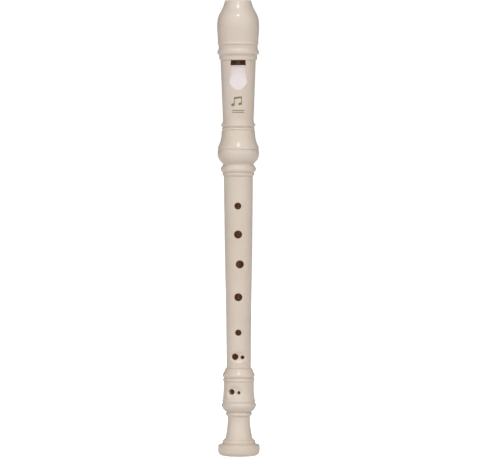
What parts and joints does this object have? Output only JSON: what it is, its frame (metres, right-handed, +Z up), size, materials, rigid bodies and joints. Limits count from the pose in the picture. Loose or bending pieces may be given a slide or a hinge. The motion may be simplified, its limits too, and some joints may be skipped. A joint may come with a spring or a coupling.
{
  "type": "soprano recorder",
  "caption": "Straight moulded school recorder with a beak, a whistle window, front finger holes, a thumb hole and a turned foot, in joints that twist and pull apart.",
  "frame": {"origin": "centre of the flat ring at the bottom of the foot joint, on the bore's axis", "axes": "+Z runs up the bore from the foot to the beak, and the window and finger holes face -Y, so +X is on the right of someone who looks at the holes"},
  "size_m": [0.0302, 0.0302, 0.33],
  "materials": {
    "ivory_plastic": "glossy ivory moulded plastic, faintly worn",
    "joint_grease": "wet translucent film",
    "mark_ink": "thin printed olive ink"
  },
  "bodies": {
    "middle": {"middle_joint": "ivory_plastic"},
    "upper_grease": {"upper_joint_grease": "joint_grease"},
    "head": {"head_joint": "ivory_plastic", "windway_block": "ivory_plastic"},
    "lower_grease": {"lower_joint_grease": "joint_grease"},
    "foot": {"foot_joint": "ivory_plastic"}
  },
  "joints": [
    {"name": "head_twist", "type": "hinge", "parent": "middle", "child": "upper_grease", "pos_m": [0, 0, 0.23415], "axis": [0, 0, 1], "continuous": true},
    {"name": "head_pull", "type": "slide", "parent": "upper_grease", "child": "head", "axis": [0, 0, 1], "range_m": [0, 0.024]},
    {"name": "foot_twist", "type": "hinge", "parent": "middle", "child": "lower_grease", "pos_m": [0, 0, 0.0571], "axis": [0, 0, 1], "continuous": true},
    {"name": "foot_pull", "type": "slide", "parent": "lower_grease", "child": "foot", "axis": [0, 0, -1], "range_m": [0, 0.0138]}
  ]
}
